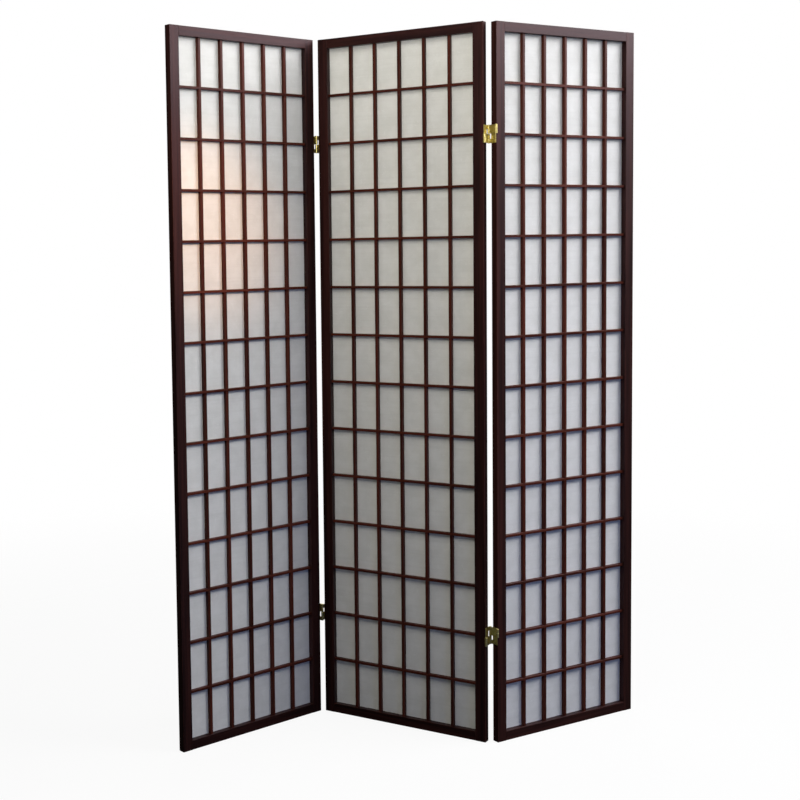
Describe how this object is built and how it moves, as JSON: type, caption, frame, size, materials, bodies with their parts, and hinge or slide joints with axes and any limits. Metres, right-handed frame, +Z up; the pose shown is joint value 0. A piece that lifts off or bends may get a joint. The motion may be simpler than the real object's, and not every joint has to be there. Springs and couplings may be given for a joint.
{
  "type": "folding room divider screen",
  "caption": "Folding floor screen: tall lattice panels with rice paper behind dark wood bars, joined by two-way brass hinges.",
  "frame": {"origin": "on the floor, under the centre of the middle panel", "axes": "+X along the middle panel to its right end, -Y out of its front, the side where the lattice shows, +Z up"},
  "size_m": [0.8652, 0.879, 1.785],
  "materials": {
    "frame_wood": "dark cherry stain under satin lacquer",
    "lattice_wood": "dark cherry stain under satin lacquer",
    "rice_paper": "matte translucent rice paper with a faint ripple",
    "hinge_brass": "bright brass plate",
    "screw_brass": "brass-plated countersunk screws"
  },
  "bodies": {
    "middle_panel": {"left_lower_hinge_lower_link": "hinge_brass", "left_lower_hinge_right_leaf": "hinge_brass", "left_lower_hinge_right_pins": "hinge_brass", "left_lower_hinge_right_screws": "screw_brass", "left_upper_hinge_lower_link": "hinge_brass", "left_upper_hinge_right_leaf": "hinge_brass", "left_upper_hinge_right_pins": "hinge_brass", "left_upper_hinge_right_screws": "screw_brass", "middle_panel_bottom_rail": "frame_wood", "middle_panel_cross_bars": "lattice_wood", "middle_panel_left_stile": "frame_wood", "middle_panel_paper": "rice_paper", "middle_panel_right_stile": "frame_wood", "middle_panel_top_rail": "frame_wood", "middle_panel_uprights": "lattice_wood", "right_lower_hinge_left_leaf": "hinge_brass", "right_lower_hinge_left_pins": "hinge_brass", "right_lower_hinge_left_screws": "screw_brass", "right_lower_hinge_lower_link": "hinge_brass", "right_upper_hinge_left_leaf": "hinge_brass", "right_upper_hinge_left_pins": "hinge_brass", "right_upper_hinge_left_screws": "screw_brass", "right_upper_hinge_lower_link": "hinge_brass"},
    "left_panel": {"left_lower_hinge_left_leaf": "hinge_brass", "left_lower_hinge_left_pins": "hinge_brass", "left_lower_hinge_left_screws": "screw_brass", "left_lower_hinge_upper_link": "hinge_brass", "left_panel_bottom_rail": "frame_wood", "left_panel_cross_bars": "lattice_wood", "left_panel_left_stile": "frame_wood", "left_panel_paper": "rice_paper", "left_panel_right_stile": "frame_wood", "left_panel_top_rail": "frame_wood", "left_panel_uprights": "lattice_wood", "left_upper_hinge_left_leaf": "hinge_brass", "left_upper_hinge_left_pins": "hinge_brass", "left_upper_hinge_left_screws": "screw_brass", "left_upper_hinge_upper_link": "hinge_brass"},
    "right_panel": {"right_lower_hinge_right_leaf": "hinge_brass", "right_lower_hinge_right_pins": "hinge_brass", "right_lower_hinge_right_screws": "screw_brass", "right_lower_hinge_upper_link": "hinge_brass", "right_panel_bottom_rail": "frame_wood", "right_panel_cross_bars": "lattice_wood", "right_panel_left_stile": "frame_wood", "right_panel_paper": "rice_paper", "right_panel_right_stile": "frame_wood", "right_panel_top_rail": "frame_wood", "right_panel_uprights": "lattice_wood", "right_upper_hinge_right_leaf": "hinge_brass", "right_upper_hinge_right_pins": "hinge_brass", "right_upper_hinge_right_screws": "screw_brass", "right_upper_hinge_upper_link": "hinge_brass"}
  },
  "joints": [
    {"name": "left_fold", "type": "hinge", "parent": "middle_panel", "child": "left_panel", "pos_m": [-0.2345, -0.0135, 0], "axis": [0, 0, 1], "range_deg": [-72, 108]},
    {"name": "right_fold", "type": "hinge", "parent": "middle_panel", "child": "right_panel", "pos_m": [0.2345, 0.0135, 0], "axis": [0, 0, 1], "range_deg": [-63, 117]}
  ]
}
